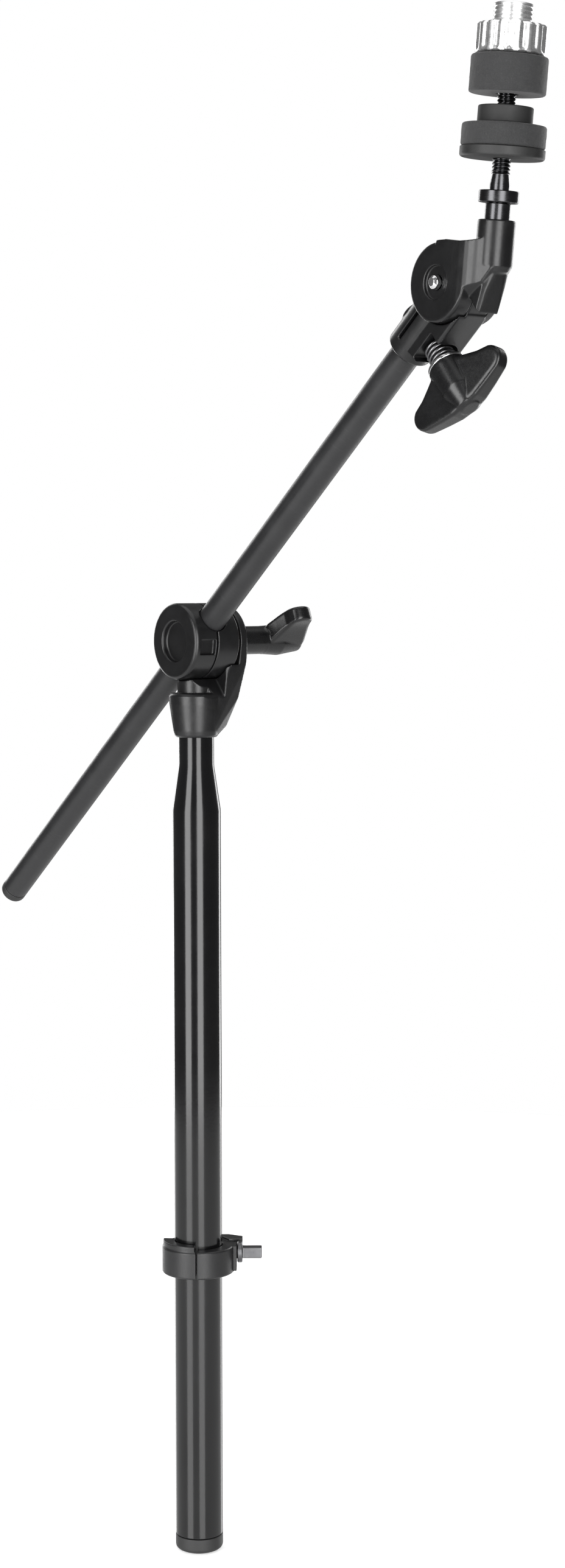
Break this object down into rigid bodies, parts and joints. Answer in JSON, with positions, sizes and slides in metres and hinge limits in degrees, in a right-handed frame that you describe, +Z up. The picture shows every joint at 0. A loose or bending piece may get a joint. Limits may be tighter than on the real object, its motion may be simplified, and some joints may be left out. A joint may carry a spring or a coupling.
{
  "type": "cymbal boom arm",
  "caption": "Boom arm for a drum stand: straight post with a stop collar, tilting rod clamp, sliding boom, tilter with wing nut, and an upright threaded rod with felts and a thumb nut.",
  "frame": {"origin": "centre of the post's foot, on the post's axis", "axes": "+Z up along the post; +X the way the boom reaches; +Y out through the ear that carries the clamp's wing nut"},
  "size_m": [0.3899, 0.0755, 0.6751],
  "materials": {
    "gloss_black": "gloss black plating over steel tube",
    "cast_black": "semi-gloss black coated die casting",
    "gloss_cast": "gloss black coated die casting",
    "satin_black": "satin black coated steel",
    "black_plastic": "moulded black plastic",
    "dark_chrome": "black nickel plating",
    "chrome": "bright plating",
    "zinc": "zinc plated steel",
    "spring_steel": "bare spring wire",
    "fibre": "dark fibre friction disc",
    "felt": "dense black wool felt",
    "rubber": "black rubber"
  },
  "bodies": {
    "post": {"post_tube": "gloss_black", "post_end_plug": "black_plastic", "clamp_yoke": "cast_black", "yoke_pin": "zinc"},
    "stop_lock": {"stop_lock_ring": "satin_black"},
    "key_bolt": {"key_bolt": "chrome"},
    "boom_clamp": {"drum_cap": "cast_black", "drum_inner": "cast_black", "cap_screw_upper": "zinc", "cap_screw_lower": "zinc", "eye_bolt": "zinc", "friction_disc": "fibre", "clamp_washer": "chrome"},
    "clamp_wing_nut": {"clamp_wing_nut": "gloss_cast"},
    "boom": {"boom_rod": "satin_black", "boom_end_cap": "black_plastic"},
    "tilter_base": {"tilter_base": "cast_black", "tilter_bolt": "satin_black", "tilter_spring": "spring_steel", "tilter_washer": "chrome"},
    "tilter_wing_nut": {"tilter_wing_nut": "gloss_cast"},
    "tilter_arm": {"tilter_arm": "cast_black", "tilter_cover": "cast_black", "pivot_rivet": "chrome", "cymbal_rod": "dark_chrome", "rod_collar": "dark_chrome"},
    "cymbal_seat": {"seat_cup": "black_plastic", "lower_felt": "felt", "bell_rest": "rubber"},
    "upper_felt": {"upper_felt": "felt"},
    "seat_nut": {"seat_nut": "chrome"}
  },
  "joints": [
    {"name": "stop_lock_slide", "type": "slide", "parent": "post", "child": "stop_lock", "axis": [0, 0, 1], "range_m": [-0.12, 0.19]},
    {"name": "key_bolt_turn", "type": "hinge", "parent": "stop_lock", "child": "key_bolt", "pos_m": [0, 0, 0.1412], "axis": [0.6088, 0.7934, 0], "continuous": true},
    {"name": "boom_tilt", "type": "hinge", "parent": "post", "child": "boom_clamp", "pos_m": [0, 0, 0.4257], "axis": [0, 1, 0], "range_deg": [-10, 88]},
    {"name": "clamp_wing_nut_turn", "type": "hinge", "parent": "boom_clamp", "child": "clamp_wing_nut", "pos_m": [0, 0, 0.4257], "axis": [0, 1, 0], "continuous": true},
    {"name": "boom_slide", "type": "slide", "parent": "boom_clamp", "child": "boom", "axis": [0.7771, 0, 0.6293], "range_m": [-0.17, 0.185]},
    {"name": "boom_roll", "type": "hinge", "parent": "boom", "child": "tilter_base", "pos_m": [0.17905, 0, 0.57069], "axis": [0.7771, 0, 0.6293], "continuous": true},
    {"name": "tilter_wing_nut_turn", "type": "hinge", "parent": "tilter_base", "child": "tilter_wing_nut", "pos_m": [0.16001, 0, 0.55528], "axis": [0.6293, 0, -0.7771], "continuous": true},
    {"name": "arm_tilt", "type": "hinge", "parent": "tilter_base", "child": "tilter_arm", "pos_m": [0.17905, 0, 0.57069], "axis": [0, 1, 0], "range_deg": [-95, 24]},
    {"name": "seat_turn", "type": "hinge", "parent": "tilter_arm", "child": "cymbal_seat", "pos_m": [0.19952, 0, 0.56836], "axis": [0.1132, 0, 0.9936], "continuous": true},
    {"name": "upper_felt_slide", "type": "slide", "parent": "tilter_arm", "child": "upper_felt", "axis": [0.1132, 0, 0.9936], "range_m": [-0.0042, 0]},
    {"name": "seat_nut_turn", "type": "hinge", "parent": "tilter_arm", "child": "seat_nut", "pos_m": [0.19952, 0, 0.56836], "axis": [0.1132, 0, 0.9936], "continuous": true}
  ]
}
